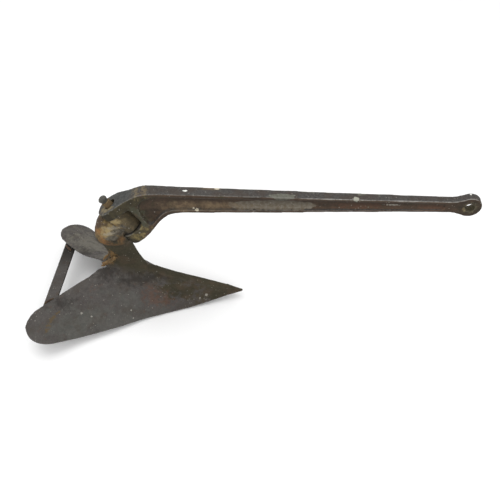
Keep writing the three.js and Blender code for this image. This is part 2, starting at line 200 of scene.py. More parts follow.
def round_off(obj, voxel, rounds):
    """Remeshes evenly, then smooths without shrinking, which rounds edges as forging does."""
    remesh(obj, voxel)
    average = neighbour_mean(obj)

    def change(places, _normals):
        for amount in (RELAX, -SWELL) * rounds:
            places = places + amount * (average(places) - places)
        return places

    move_points(obj, change)


def fill_corners(obj, rounds, share=None):
    """Fillets inner corners where share is 1: only hollows are smoothed, so they fill up."""
    average = neighbour_mean(obj)

    def change(places, normals):
        weight = 1.0 if share is None else share(places)[:, None]
        for _ in range(rounds):
            pull = average(places) - places
            outward = (pull * normals).sum(1)[:, None]
            places = places + weight * np.where(outward > 0, normals * outward, 0)
        return places

    move_points(obj, change)


def relax(obj, rounds, share):
    """Smooths bumps and hollows alike where share is 1."""
    average = neighbour_mean(obj)

    def change(places, _normals):
        weight = RELAX * share(places)[:, None]
        for _ in range(rounds):
            places = places + weight * (average(places) - places)
        return places

    move_points(obj, change)


def displace(obj, texture, strength, share=None):
    """Moves the surface in and out by a texture; share (0 to 1) may limit where."""
    start = get_points(obj.data)
    step = obj.modifiers.new(texture.name, "DISPLACE")
    step.texture = texture
    step.texture_coords = "LOCAL"
    step.mid_level = 0.5
    step.strength = strength
    apply_modifiers(obj)
    if share is not None:
        weight = share(start)[:, None]
        move_points(obj, lambda places, _normals: start + weight * (places - start))


def near(point, radius, fade):
    """A share that is 1 within radius of a point and fades to 0 over a further distance."""
    centre = np.array(point)

    def share(places):
        distance = np.linalg.norm(places - centre, axis=1)
        return np.clip((radius + fade - distance) / fade, 0, 1)

    return share


def flatten(obj, point, normal, radius):
    """Grinds a facet: what stands beyond a plane, near a point, is pushed back to it."""
    facing = np.array(Vector(normal).normalized())
    share = near(point, radius, radius / 2)

    def change(places, _normals):
        height = (places - np.array(point)) @ facing
        beyond = np.where(height > 0, height, 0) * share(places)
        return places - np.outer(beyond, facing)

    move_points(obj, change)


def dent(obj, points, radius, depth):
    """Presses soft hollows into the surface, or raises lumps where depth is negative."""

    def change(places, normals):
        for point in points:
            share = near(point, 0, radius)(places)
            smooth = share * share * (3 - 2 * share)
            places = places - (depth * smooth)[:, None] * normals
        return places

    move_points(obj, change)


def weather(obj, name, dents, pits):
    """Forging dents and rust pits over the whole surface."""
    displace(obj, cloud(name + "_dents", DENT_WIDTH, 1), dents)
    displace(obj, cloud(name + "_pits", PIT_WIDTH, 2), pits)


def hand_over(obj, node, body, material):
    """Lets a finished piece stand for its CAD node, inside the space the CAD takes up."""
    low, high = (np.array(corner) for corner in cad_bounds)
    move_points(obj, lambda places, _normals: np.clip(places, low, high))
    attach(obj, body)
    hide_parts(node)
    obj.data.materials.clear()
    obj.data.materials.append(material)
    return obj


def forged(node, voxel, rounds, dents=0.5 * MM, pits=0.25 * MM):
    """The soft, pitted shape of one CAD node."""
    obj = copy_nodes([node], node + "_finish")
    round_off(obj, voxel, rounds)
    weather(obj, node, dents, pits)
    return obj


def carve(obj, cutter, operation):
    step = obj.modifiers.new(operation, "BOOLEAN")
    step.operation = operation
    step.solver = "MANIFOLD"
    step.object = cutter
    apply_modifiers(obj)


def keep_side(obj, side):
    """Keeps the largest loose part on one side of the middle (0 is either side)."""
    work = bmesh.new()
    work.from_mesh(obj.data)
    left = set(work.verts)
    best = []
    while left:
        part = [left.pop()]
        for vert in part:
            fresh = {edge.other_vert(vert) for edge in vert.link_edges} & left
            left -= fresh
            part.extend(fresh)
        middle = sum(vert.co.y for vert in part) / len(part)
        if middle * side >= 0 and len(part) > len(best):
            best = part
    best = set(best)
    bmesh.ops.delete(work, geom=[v for v in work.verts if v not in best], context="VERTS")
    work.to_mesh(obj.data)
    work.free()


# ------------------------------------------------------------------ material kit


SPECULAR = 0.15  # rust reflects little
BUMP_STRENGTH = 0.8


class Finish:
    """Builds one procedural material out of small named steps."""

    def __init__(self, name):
        self.material = bpy.data.materials.new(name)
        self.material.use_nodes = True
        self.tree = self.material.node_tree
        self.tree.nodes.clear()
        coords = self.tree.nodes.new("ShaderNodeTexCoord")
        self.place = coords.outputs["Object"]
        self.geometry = self.tree.nodes.new("ShaderNodeNewGeometry")
        self.bumps = []

    def _link(self, value, socket):
        if isinstance(value, bpy.types.NodeSocket):
            self.tree.links.new(value, socket)
        else:
            socket.default_value = value

    def math(self, operation, first, second=0.0, clamp=True):
        """One sum; clamp keeps a sum or difference between 0 and 1."""
        node = self.tree.nodes.new("ShaderNodeMath")
        node.operation = operation
        node.use_clamp = clamp and operation in ("ADD", "SUBTRACT")
        self._link(first, node.inputs[0])
        self._link(second, node.inputs[1])
        return node.outputs[0]

    def times(self, first, second):
        return self.math("MULTIPLY", first, second)

    def either(self, first, second):
        return self.math("MAXIMUM", first, second)

    def without(self, first, second):
        return self.math("SUBTRACT", first, second)

    def noise(self, size, detail=5.0, roughness=0.55, stretch=(1, 1, 1), seed=0.0):
        """Noise between 0 and 1 with features about size metres wide."""
        mapping = self.tree.nodes.new("ShaderNodeMapping")
        self._link(self.place, mapping.inputs["Vector"])
        mapping.inputs["Location"].default_value = (seed, 1.7 * seed, -2.3 * seed)
        mapping.inputs["Scale"].default_value = [1 / (size * part) for part in stretch]
        node = self.tree.nodes.new("ShaderNodeTexNoise")
        node.inputs["Scale"].default_value = 1.0
        node.inputs["Detail"].default_value = detail
        node.inputs["Roughness"].default_value = roughness
        self.tree.links.new(mapping.outputs[0], node.inputs["Vector"])
        return node.outputs["Fac"]

    def specks(self, spacing, size, seed=0.0):
        """Small round dots, one in each cell, with sizes that vary."""
        mapping = self.tree.nodes.new("ShaderNodeMapping")
        self._link(self.place, mapping.inputs["Vector"])
        mapping.inputs["Location"].default_value = (seed, -seed, 0.5 * seed)
        mapping.inputs["Scale"].default_value = [1 / spacing] * 3
        node = self.tree.nodes.new("ShaderNodeTexVoronoi")
        node.inputs["Scale"].default_value = 1.0
        self.tree.links.new(mapping.outputs[0], node.inputs["Vector"])
        cell = self.tree.nodes.new("ShaderNodeSeparateColor")
        self.tree.links.new(node.outputs["Color"], cell.inputs[0])
        reach = self.times(self.steps(cell.outputs[0], 0.55, 1.0), size / spacing)
        return self.math("LESS_THAN", node.outputs["Distance"], reach)

    def steps(self, value, low, high):
        """0 below low, 1 above high, smooth between; low may be the larger one."""
        node = self.tree.nodes.new("ShaderNodeMapRange")
        node.interpolation_type = "SMOOTHSTEP"
        turned = low > high
        node.inputs["From Min"].default_value = min(low, high)
        node.inputs["From Max"].default_value = max(low, high)
        node.inputs["To Min"].default_value = 1.0 if turned else 0.0
        node.inputs["To Max"].default_value = 0.0 if turned else 1.0
        self._link(value, node.inputs["Value"])
        return node.outputs["Result"]

    def spots(self, places, ragged=0.4, size=5 * MM, seed=3.0, soft=0.25):
        """Ragged spots at a list of (centre, radius) or (centre, (radius x, y, z)).

        Spots with a hard edge (little soft) get a plain outline, the others a frayed one.
        """
        nearest = None
        for centre, radii in places:
            radii = radii if isinstance(radii, tuple) else (radii,) * 3
            distance = self.egg(centre, radii)
            nearest = distance if nearest is None else self.math("MINIMUM", nearest, distance)
        detail = 6 if soft > 0.15 else 2
        rough = self.steps(self.noise(size, detail, 0.7, seed=seed), 0.3, 0.7)
        edge = self.math("ADD", nearest, self.times(rough, 2 * ragged), clamp=False)
        return self.steps(edge, 1.0 + ragged + soft, 1.0 + ragged - soft)

    def egg(self, centre, radii):
        """Distance from the centre of an egg shape, 1 on its surface."""
        mapping = self.tree.nodes.new("ShaderNodeMapping")
        self._link(self.place, mapping.inputs["Vector"])
        mapping.inputs["Scale"].default_value = [1 / radius for radius in radii]
        mapping.inputs["Location"].default_value = [-c / r for c, r in zip(centre, radii)]
        length = self.tree.nodes.new("ShaderNodeVectorMath")
        length.operation = "LENGTH"
        self.tree.links.new(mapping.outputs[0], length.inputs[0])
        return length.outputs["Value"]

    def slope(self, direction, low, high):
        """Fades in along a direction, between two distances in metres."""
        return self.steps(self.along(direction), low, high)

    def along(self, direction):
        """Distance along a direction, in metres."""
        node = self.tree.nodes.new("ShaderNodeVectorMath")
        node.operation = "DOT_PRODUCT"
        node.inputs[1].default_value = direction
        self._link(self.place, node.inputs[0])
        return node.outputs["Value"]

    def facing(self, direction, low=0.2, high=0.8):
        """1 where the surface faces a direction."""
        node = self.tree.nodes.new("ShaderNodeVectorMath")
        node.operation = "DOT_PRODUCT"
        node.inputs[1].default_value = Vector(direction).normalized()
        transform = self.tree.nodes.new("ShaderNodeVectorTransform")
        transform.vector_type = "NORMAL"
        transform.convert_from = "WORLD"
        transform.convert_to = "OBJECT"
        self.tree.links.new(self.geometry.outputs["Normal"], transform.inputs[0])
        self.tree.links.new(transform.outputs[0], node.inputs[0])
        return self.steps(node.outputs["Value"], low, high)

    def edges(self, low=0.51, high=0.56):
        """1 on outer edges, where handling rubs the surface bright."""
        return self.steps(self.geometry.outputs["Pointiness"], low, high)

    def hollows(self, low=0.495, high=0.45):
        """1 in inner corners."""
        return self.steps(self.geometry.outputs["Pointiness"], low, high)

    def mix(self, amount, first, second):
        node = self.tree.nodes.new("ShaderNodeMix")
        node.data_type = "RGBA"
        self._link(amount, node.inputs["Factor"])
        self._link(rgba(first), node.inputs["A"])
        self._link(rgba(second), node.inputs["B"])
        return node.outputs["Result"]

    def spread(self, amount, first, second, strength=1.0):
        """Mixes second over first where amount says so, at most by strength."""
        return self.mix(self.times(amount, strength), first, second)

    def mottle(self, first, second, size, seed=0.0):
        """Two colours, broken into fine patches."""
        return self.mix(self.steps(self.noise(size, 6, 0.7, seed=seed), 0.34, 0.66), first, second)

    def bump(self, height, depth):
        """Adds surface relief, depth metres deep where height is 1."""
        self.bumps.append((height, depth))

    def finish(self, colour, roughness, metallic):
        """Wires everything to the shader and gives the material."""
        shader = self.tree.nodes.new("ShaderNodeBsdfPrincipled")
        output = self.tree.nodes.new("ShaderNodeOutputMaterial")
        self.tree.links.new(shader.outputs[0], output.inputs["Surface"])
        self._link(rgba(colour), shader.inputs["Base Color"])
        self._link(roughness, shader.inputs["Roughness"])
        self._link(metallic, shader.inputs["Metallic"])
        shader.inputs["Specular IOR Level"].default_value = SPECULAR
        normal = None
        for height, depth in self.bumps:
            node = self.tree.nodes.new("ShaderNodeBump")
            node.inputs["Strength"].default_value = BUMP_STRENGTH
            node.inputs["Distance"].default_value = depth
            self.tree.links.new(height, node.inputs["Height"])
            if normal is not None:
                self.tree.links.new(normal, node.inputs["Normal"])
            normal = node.outputs["Normal"]
        if normal is not None:
            self.tree.links.new(normal, shader.inputs["Normal"])
        return self.material


def rgba(colour):
    """Adds alpha to a plain colour, and passes a node's output on as it is."""
    return (*colour, 1.0) if isinstance(colour, tuple) and len(colour) == 3 else colour


# ------------------------------------------------------------------ colours (linear RGB)

BLACK = (0.016, 0.014, 0.012)
OXIDE_DARK = (0.024, 0.019, 0.015)
OXIDE_BROWN = (0.078, 0.055, 0.039)
STEEL_DARK = (0.045, 0.043, 0.041)
STEEL = (0.098, 0.094, 0.089)
STEEL_PALE = (0.170, 0.164, 0.152)
WORN = (0.300, 0.290, 0.270)
RUST_RED = (0.118, 0.060, 0.038)
RUST_ORANGE = (0.235, 0.115, 0.040)
OCHRE = (0.215, 0.150, 0.062)
SAND = (0.345, 0.270, 0.138)
OLIVE_DARK = (0.030, 0.027, 0.018)
OLIVE = (0.058, 0.050, 0.031)
VERDIGRIS = (0.078, 0.081, 0.055)
SALT = (0.360, 0.345, 0.300)
PAINT = (0.215, 0.192, 0.155)
PAINT_GREEN = (0.190, 0.192, 0.155)
CREAM = (0.560, 0.500, 0.380)
WHITE = (0.780, 0.780, 0.740)
PLUM = (0.055, 0.049, 0.046)
PLUM_PALE = (0.100, 0.092, 0.085)
DRIP = (0.360, 0.360, 0.300)
BONE = (0.280, 0.250, 0.190)
LICHEN = (0.190, 0.180, 0.145)
UMBER = (0.100, 0.074, 0.042)
TAUPE = (0.068, 0.052, 0.042)
PURPLE_RUST = (0.060, 0.044, 0.036)
NECK_BROWN = (0.072, 0.051, 0.034)
PLATE_STAIN = (0.064, 0.054, 0.043)


def grain(paint, depth=0.35 * MM):
    """Fine surface relief shared by all the steel: pitting and scale."""
    paint.bump(paint.noise(1.6 * MM, 6, 0.7, seed=5.0), depth)
    paint.bump(paint.steps(paint.noise(6 * MM, 3, 0.5, seed=8.0), 0.35, 0.6), 0.5 * depth)


def oxide(paint, dark, pale, blotch=30 * MM, seed=1.0):
    """Base coat of two oxide tones, blotched at three scales."""
    wide = paint.steps(paint.noise(2 * blotch, 4, 0.6, seed=seed), 0.36, 0.64)
    close = paint.steps(paint.noise(blotch / 4, 6, 0.7, seed=seed + 1), 0.34, 0.66)
    fine = paint.steps(paint.noise(blotch / 14, 3, 0.6, seed=seed + 2), 0.3, 0.7)
    blend = paint.math("ADD", paint.times(wide, 0.35), paint.times(close, 0.35))
    return paint.mix(paint.math("ADD", blend, paint.times(fine, 0.3)), dark, pale)


def wear(paint, colour, rubbed=WORN, rub=0.5, corner_darkening=0.6):
    """Rubbed outer edges and darkened inner corners, both broken up by noise."""
    patchy = paint.steps(paint.noise(12 * MM, 5, 0.65, seed=15.0), 0.36, 0.6)
    colour = paint.spread(paint.times(paint.edges(), patchy), colour, rubbed, rub)
    return paint.spread(paint.hollows(), colour, OXIDE_DARK, corner_darkening)


def speckle(paint, colour, fine=0.5, coarse=0.6):
    """Pale mineral specks, thick in some places and thin in others."""
    patchy = paint.steps(paint.noise(45 * MM, 3, 0.5, seed=17.0), 0.3, 0.6)
    small = paint.times(paint.specks(4.6 * MM, 1.1 * MM, seed=7.0), patchy)
    colour = paint.spread(small, colour, SALT, fine)
    return paint.spread(paint.specks(17 * MM, 1.8 * MM, seed=9.0), colour, SALT, coarse)


def both_sides(back, side, height, radii):
    """A place on the shank and its mirror image, for spots()."""
    return [(behind_eye(back, way * side, height), radii) for way in (-1, 1)]


def both_cheeks(forward, side, up, radii):
    """A place round the hinge and its mirror image, for spots()."""
    return [(at_hinge(forward, way * side, up), radii) for way in (-1, 1)]


def trail(start, end, radius, count):
    """Places in a row from start to end, for a streak."""
    return [(start.lerp(end, step / (count - 1)), radius) for step in range(count)]


def boxy(x, y, z):
    """Radii in millimetres."""
    return (x * MM, y * MM, z * MM)


def shank_paint(paint, colour):
    """Remains of old paint: thin grey on the web, thicker green on the top flange."""
    web = both_sides(373, 5, -4, boxy(86, 12, 11.5)) + both_sides(428, 5, -8, boxy(34, 12, 7.5))
    long = paint.spots(web, 0.1, 12 * MM, 51.0, 0.05)
    veil = paint.mottle((0.150, 0.122, 0.086), PAINT, 7 * MM, 54.0)
    colour = paint.spread(long, colour, veil, 0.95)
    flange = [(behind_eye(354, -6, 20), boxy(24, 7, 8)), (behind_eye(359, -7, 13), boxy(15, 8, 6))]
    flange += [(behind_eye(204, 7, 16), boxy(9, 3.5, 4)), (behind_eye(172, 8, 16), boxy(5, 3, 4))]
    flange += [(behind_eye(300, 8, 10), boxy(30, 6, 9))]
    green = paint.spots(flange, 0.2, 9 * MM, 52.0, 0.05)
    coat = paint.mottle((0.110, 0.108, 0.086), PAINT_GREEN, 5 * MM, 55.0)
    colour = paint.spread(green, colour, coat, 0.8)
    drop = [(behind_eye(215.5, -7, 17), boxy(5.5, 6, 4))]
    drop += [(behind_eye(214.5, -10, 12.5), boxy(2, 3, 5.5))]
    return paint.spread(paint.spots(drop, 0.15, soft=0.1, seed=53.0), colour, DRIP)


def shank_marks(paint, colour):
    """Splashes and stains that sit in one place each."""
    tan = both_sides(556, 6, -11, boxy(28, 8, 8)) + both_sides(490, 6, -10, boxy(42, 8, 7))
    tan += [(behind_eye(497, 9, 22), boxy(14, 3.5, 4))]
    stain = paint.mottle((0.115, 0.083, 0.055), (0.225, 0.165, 0.098), 9 * MM, 80.0)
    colour = paint.spread(paint.spots(tan, 0.5, 16 * MM, 61.0, 1.1), colour, stain, 0.75)
    scrapes = [(behind_eye(644, 6, 20), boxy(4, 8, 8)), (behind_eye(639, -7, 20), boxy(4, 7, 8))]
    scrapes += [(behind_eye(627, 6, 24), boxy(3, 8, 6)), (behind_eye(621, -7, 24), boxy(3, 7, 6))]
    colour = paint.spread(paint.spots(scrapes, 1.5, 6 * MM, 68.0, 1.1), colour, SAND, 0.28)
    cream = [(behind_eye(528, -12, -13.5), boxy(4.5, 6, 2))]
    cream += [(behind_eye(523, -12, -15.5), boxy(4, 6, 2.4))]
    cream += [(behind_eye(482, 9, 22.5), boxy(5, 2.5, 4))]
    colour = paint.spread(paint.spots(cream, 0.3, 5 * MM, 62.0, 0.1), colour, CREAM)
    white = [(behind_eye(543, 0, 24), boxy(4.2, 2.2, 4)), (behind_eye(1, 5, 21), 2.2 * MM)]
    white += [(behind_eye(-6, -3, 20), 1.6 * MM)]
    colour = paint.spread(paint.spots(white, 0.3, 3 * MM, 63.0, 0.12), colour, WHITE)
    green = both_sides(146, 5, 1, boxy(11, 5, 1.6))
    return paint.spread(paint.spots(green, 0.9, 3 * MM, 64.0, 0.4), colour, SALT, 0.5)


def head_patina(paint, colour):
    """Olive and green corrosion round the jaw, with a pale worn rim and lower lug."""
    head = paint.slope((1, 0, 0), behind_eye(612, 0, 0).x, behind_eye(668, 0, 0).x)
    sides = both_sides(620, 18, 8, boxy(60, 8, 14)) + both_cheeks(22, 20, 31, boxy(45, 10, 14))
    flank = paint.spots(sides, 0.4, 10 * MM, 69.0, 0.3)
    rough = paint.steps(paint.noise(24 * MM, 5, 0.65, seed=19.0), 0.3, 0.7)
    brown = paint.steps(paint.math("ADD", head, paint.times(rough, 0.7), clamp=False), 0.8, 0.5)
    green = paint.mottle((0.036, 0.034, 0.019), (0.074, 0.066, 0.034), 12 * MM, 13.0)
    olive = paint.either(paint.without(1.0, brown), flank)
    colour = paint.spread(olive, colour, green, 0.8)
    rim = both_cheeks(46, 20, 20, boxy(6, 9, 8)) + both_cheeks(49, 20, 8, boxy(6, 9, 10))
    rim += both_cheeks(47, 20, -8, boxy(6, 9, 10)) + both_cheeks(42, 20, -20, boxy(7, 9, 9))
    colour = paint.spread(paint.spots(rim, 0.9, 7 * MM, 14.0, 0.6), colour, VERDIGRIS, 0.8)
    lug = both_cheeks(24, 24, -31, boxy(20, 14, 10)) + both_cheeks(6, 24, -34, boxy(18, 14, 9))
    coat = paint.mottle(OLIVE, (0.275, 0.215, 0.090), 9 * MM, 56.0)
    return paint.spread(paint.spots(lug, 0.7, 9 * MM, 16.0, 0.5), colour, coat, 0.85)


def lug_top(paint, colour):
    """Blue-grey upper lug, with a pale ring rubbed round the pin."""
    top = paint.spots([(at_hinge(22, 0, 46), boxy(52, 32, 30))], 0.3, 12 * MM, 70.0, 0.3)
    blue = paint.mottle((0.040, 0.042, 0.041), (0.078, 0.081, 0.077), 5 * MM, 76.0)
    up = paint.facing(PIN_UP, 0.6, 0.9)
    colour = paint.spread(paint.times(top, up), colour, blue, 0.85)
    ring = [(at_hinge(-12, -8, 46), boxy(7, 8, 5)), (at_hinge(-5, -15, 46), boxy(8, 6, 6))]
    ring += [(at_hinge(9, -18, 46), boxy(9, 4, 6)), (at_hinge(-10, 10, 46), boxy(8, 9, 6))]
    return paint.spread(paint.spots(ring, 0.6, 6 * MM, 77.0, 0.5), colour, SAND, 0.5)


def web_streaks(paint, colour):
    """Warm brown streaks along both faces of the web, red in places."""
    web = paint.either(paint.facing((0, -1, 0), 0.5, 0.95), paint.facing((0, 1, 0), 0.5, 0.95))
    streaks = paint.noise(30 * MM, 6, 0.7, stretch=(2.6, 1, 0.5), seed=11.0)
    brown = paint.mottle((0.074, 0.050, 0.033), (0.118, 0.076, 0.050), 6 * MM, 57.0)
    colour = paint.spread(paint.times(web, paint.steps(streaks, 0.3, 0.56)), colour, brown, 0.85)
    red = both_sides(205, 5, -2, boxy(44, 6, 8)) + both_sides(70, 5, -2, boxy(26, 6, 7))
    return paint.spread(paint.spots(red, 1.0, 5 * MM, 12.0, 0.6), colour, RUST_RED, 0.6)


def grey_top(paint, colour):
    """Bare grey steel, tinged brown in places, on everything that faces up."""
    top = paint.facing((0, 0, 1), 0.45, 0.85)
    grey = paint.mottle(STEEL_DARK, STEEL, 3.5 * MM, 18.0)
    tinged = paint.steps(paint.noise(26 * MM, 4, 0.6, seed=58.0), 0.4, 0.62)
    return paint.spread(top, colour, paint.spread(tinged, grey, TAUPE, 0.6), 0.9)


def eye_scale(paint, colour):
    """Dull cheeks round the shackle hole, scaly olive inside it, and a pale spot in its mouth that is partly wear
    and partly a painted glint.
    """
    bore = paint.spots([(EYE, boxy(15.5, 12, 15.5))], 0.3, 5 * MM, 66.0, 0.2)
    dull = paint.spots(both_sides(0, 8, -3, boxy(21, 5, 17)), 0.5, 8 * MM, 81.0, 0.4)
    colour = paint.spread(dull, colour, OLIVE_DARK, 0.55)
    scale = paint.mottle(OLIVE, (0.115, 0.100, 0.060), 4 * MM, 67.0)
    colour = paint.spread(bore, colour, scale, 0.9)
    # A sand-coloured spot inside the mouth of the hole: partly wear, partly painted glint.
    worn_spot_and_glint = paint.spots(both_sides(9, 8, -4, boxy(3.5, 4, 5)), 0.6, 4 * MM, 86.0, 0.5)
    return paint.spread(worn_spot_and_glint, colour, SAND, 0.28)


def shank_material():
    paint = Finish("shank_steel")
    colour = oxide(paint, OXIDE_DARK, OXIDE_BROWN, 22 * MM)
    colour = web_streaks(paint, colour)
    colour = head_patina(paint, colour)
    colour = grey_top(paint, colour)
    colour = lug_top(paint, colour)
    colour = shank_paint(paint, colour)
    colour = wear(paint, colour, WORN, 0.5, 0.35)
    lip = paint.spots(both_cheeks(12, 24, -25, boxy(40, 8, 4)), 0.3, 8 * MM, 82.0, 0.3)
    colour = paint.spread(lip, colour, OLIVE, 0.85)
    # Painted shade: surfaces that face down and to the front are darkened towards black.
    painted_shade_below = paint.facing((0, -0.5, -0.8), 0.2, 0.7)
    colour = paint.spread(painted_shade_below, colour, BLACK, 0.6)
    colour = speckle(paint, colour, 0.45, 0.4)
    # Pale line along the top edges of the shank's front half: partly wear, partly painted highlight.
    colour = paint.spread(edge_wear_and_highlight(paint), colour, WORN, 0.9)
    colour = shank_marks(paint, colour)
    colour = eye_scale(paint, colour)
    grain(paint)
    rough = paint.mix(paint.edges(), (0.72,) * 3, (0.46,) * 3)
    return paint.finish(colour, rough, 0.2)


def edge_wear_and_highlight(paint):
    """The front half of the shank is rubbed bright along both edges of its top, and a painted highlight lies on
    the same edges.
    """
    front = paint.slope((1, 0, 0), behind_eye(330, 0, 0).x, behind_eye(290, 0, 0).x)
    upper = paint.slope((0, 0, 1), EYE.z + 4 * MM, EYE.z + 8 * MM)
    edge = paint.either(
        paint.facing((0, -0.7, 0.7), 0.84, 0.97), paint.facing((0, 0.7, 0.7), 0.84, 0.97)
    )
    broken = paint.steps(paint.noise(9 * MM, 6, 0.7, seed=59.0), 0.36, 0.6)
    return paint.times(paint.times(edge, broken), paint.times(front, upper))


def knuckle_scale(paint, colour):
    """Ochre and orange rust scale over the knuckle, with a smooth grey facet, a painted highlight on the ridge
    above it and painted shade along its lower edge.
    """
    knuckle = both_cheeks(-34, 20, 8, boxy(26, 20, 26)) + both_cheeks(-16, 20, 20, boxy(22, 20, 14))
    knuckle += [(at_hinge(-48, 0, 10), boxy(22, 40, 26))]
    scale = paint.mottle((0.085, 0.060, 0.036), OCHRE, 9 * MM, 23.0)
    colour = paint.spread(paint.spots(knuckle, 0.4, 12 * MM, 24.0, 0.35), colour, scale, 0.9)
    sandy = both_cheeks(-36, 26, 6, boxy(15, 14, 12)) + both_cheeks(-8, 24, 22, boxy(15, 12, 6))
    colour = paint.spread(paint.spots(sandy, 0.8, 9 * MM, 26.0, 0.8), colour, SAND, 0.7)
    rust = both_cheeks(-53, 21, 17, boxy(9, 12, 9)) + both_cheeks(-58, 26, -6, boxy(9, 12, 12))
    colour = paint.spread(paint.spots(rust, 0.8, 8 * MM, 25.0, 0.8), colour, RUST_ORANGE, 0.65)
    plum = both_cheeks(-45, 14, 29, boxy(13, 12, 11)) + [(at_hinge(-58, 0, 20), boxy(12, 18, 20))]
    colour = paint.spread(paint.spots(plum, 0.4, 8 * MM, 78.0, 0.3), colour, PURPLE_RUST, 0.8)
    # Painted shade: the lower edge of the knuckle is darkened towards black.
    painted_shade_below = both_cheeks(-38, 30, -16, boxy(16, 12, 6)) + both_cheeks(-8, 27, -24, boxy(9, 14, 9))
    colour = paint.spread(paint.spots(painted_shade_below, 0.6, 8 * MM, 28.0, 0.7), colour, BLACK, 0.75)
    facet = both_cheeks(-19, 27, -6, boxy(14, 12, 11)) + both_cheeks(-38, 30, -9, boxy(14, 10, 6))
    facet += both_cheeks(0, 25, 0, boxy(9, 8, 6))
    smooth = paint.mottle((0.046, 0.041, 0.033), (0.120, 0.108, 0.086), 9 * MM, 60.0)
    colour = paint.spread(paint.spots(facet, 0.4, 9 * MM, 27.0, 0.35), colour, smooth, 0.9)
    # Painted highlight: a pale bone colour along the ridge above the facet.
    painted_crest_highlight = both_cheeks(-18, 24, 5, boxy(13, 9, 3)) + both_cheeks(-34, 29, 2, boxy(11, 9, 3))
    colour = paint.spread(paint.spots(painted_crest_highlight, 0.7, 6 * MM, 83.0, 0.7), colour, BONE, 0.7)
    neck = both_cheeks(-27, 29, -24, boxy(5, 10, 9)) + both_cheeks(-50, 28, -30, boxy(18, 14, 7))
    return paint.spread(paint.spots(neck, 0.9, 8 * MM, 65.0, 0.9), colour, RUST_ORANGE, 0.3)


def steel_of_neck(paint):
    """Dark olive, brown in places; the plates show it too along the ridge."""
    colour = oxide(paint, OLIVE_DARK, OLIVE, 20 * MM, seed=20.0)
    brown = paint.steps(paint.noise(30 * MM, 5, 0.6, seed=21.0), 0.46, 0.64)
    return paint.spread(brown, colour, NECK_BROWN, 0.6)


def horn_material():
    paint = Finish("horn_steel")
    colour = steel_of_neck(paint)
    barrel = paint.spots([(at_hinge(8, 0, 0), boxy(30, 40, 26))], 0.3, 8 * MM, 22.0, 0.4)
    coat = paint.mottle((0.062, 0.049, 0.030), (0.120, 0.092, 0.052), 8 * MM, 68.0)
    colour = knuckle_scale(paint, paint.spread(barrel, colour, coat, 0.85))
    heel = both_sides(722, 10, -160, boxy(9, 10, 13)) + both_sides(734, 12, -182, boxy(8, 8, 9))
    rust = paint.spots(heel, 0.9, 5 * MM, 29.0, 0.6)
    colour = paint.spread(rust, colour, paint.mottle(RUST_ORANGE, OCHRE, 4 * MM, 79.0), 0.6)
    colour = plough_coat(paint, colour)
    colour = wear(paint, colour, STEEL_PALE, 0.4, 0.5)
    colour = speckle(paint, colour, 0.45, 0.4)
    grain(paint, 0.5 * MM)
    return paint.finish(colour, 0.78, 0.12)


# The ridge of the plough drops from the foot of the neck to the nose; this points out of it.
RIDGE_UP = Vector((0.34, 0, 0.94)).normalized()
RIDGE_POINT = behind_eye(645, 0, -202)


def plough_coat(paint, base):
    """Purple-brown oxide on the plates; base shows along the ridge, neck and nose."""
    coat = oxide(paint, PLUM, PLUM_PALE, 34 * MM, seed=30.0)
    stain = paint.steps(paint.noise(48 * MM, 6, 0.66, seed=31.0), 0.46, 0.66)
    coat = paint.spread(stain, coat, PLATE_STAIN, 0.7)
    rust = paint.steps(paint.noise(15 * MM, 6, 0.72, seed=33.0), 0.56, 0.7)
    coat = paint.spread(rust, coat, RUST_RED, 0.35)
    below = RIDGE_POINT.dot(RIDGE_UP)
    wave = paint.times(paint.noise(30 * MM, 6, 0.7, seed=34.0), 60 * MM)
    height = paint.math("ADD", paint.along(RIDGE_UP), wave, clamp=False)
    band = paint.steps(height, below, below + 22 * MM)
    olive = []
    for way in (-1, 1):
        olive += [(behind_eye(585, way * 20, -258), boxy(44, 24, 24))]
        olive += [(behind_eye(500, way * 10, -276), boxy(60, 24, 26))]
    patch = paint.spots(olive, 0.8, 18 * MM, 35.0, 0.5)
    return paint.mix(paint.either(band, patch), coat, base)


